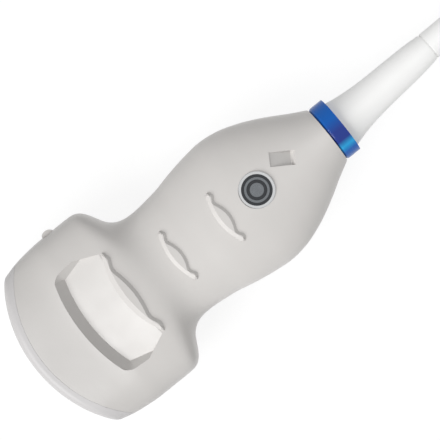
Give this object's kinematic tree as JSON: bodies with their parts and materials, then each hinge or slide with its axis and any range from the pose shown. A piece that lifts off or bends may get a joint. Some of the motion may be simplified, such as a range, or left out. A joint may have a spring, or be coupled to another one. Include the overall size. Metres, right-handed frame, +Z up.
{
  "type": "ultrasound transducer probe",
  "caption": "Convex ultrasound probe: curved acoustic lens, scooped two-shell grip with crescent ridges, blue collar, tapered strain relief and a coiled cable ending in a cartridge connector",
  "frame": {"origin": "centre of the probe's footprint, from the lens to the end of the strain relief, on the surface it lies on", "axes": "+X along the probe from the lens to the cable, +Y to the side with the orientation rib, +Z up out of the face with the badge"},
  "size_m": [0.446, 0.09, 0.0402],
  "materials": {
    "housing": "fine satin moulded plastic",
    "lens": "smooth silicone rubber",
    "badge": "turned metal disc",
    "ring": "polished blue plastic",
    "boot": "smooth moulded elastomer",
    "cable": "satin extruded jacket",
    "tie": "woven hook-and-loop band",
    "connector_shell": "fine satin moulded plastic",
    "contacts": "dark moulded insulator",
    "matching": "filled epoxy",
    "ceramic": "sintered ceramic",
    "backing": "filled elastomer",
    "frame": "moulded plastic",
    "board": "coated laminate",
    "flex": "polyimide film",
    "wires": "bundled micro coaxial wires",
    "steel": "plain steel"
  },
  "bodies": {
    "root": {"face_shell": "housing", "back_shell": "housing", "acoustic_lens": "lens", "badge": "badge", "outer_matching_layer": "matching", "inner_matching_layer": "matching", "piezo_array": "ceramic", "backing_block": "backing", "array_frame": "frame", "interconnect_board": "board", "upper_socket": "contacts", "lower_socket": "contacts", "upper_flex_circuit": "flex", "lower_flex_circuit": "flex", "board_screws": "steel", "coax_bundle": "wires", "cable_ferrule": "steel", "clamp_saddle": "frame", "clamp_cap": "frame", "clamp_screws": "steel", "colour_ring": "ring", "strain_relief": "boot", "cable_lead": "cable", "cable_tail": "cable", "cable_coil": "cable", "coil_tie": "tie", "connector_lower_shell": "connector_shell", "connector_upper_shell": "connector_shell", "contact_block": "contacts", "connector_board": "board", "connector_screws": "steel", "connector_boot": "boot"}
  },
  "joints": []
}
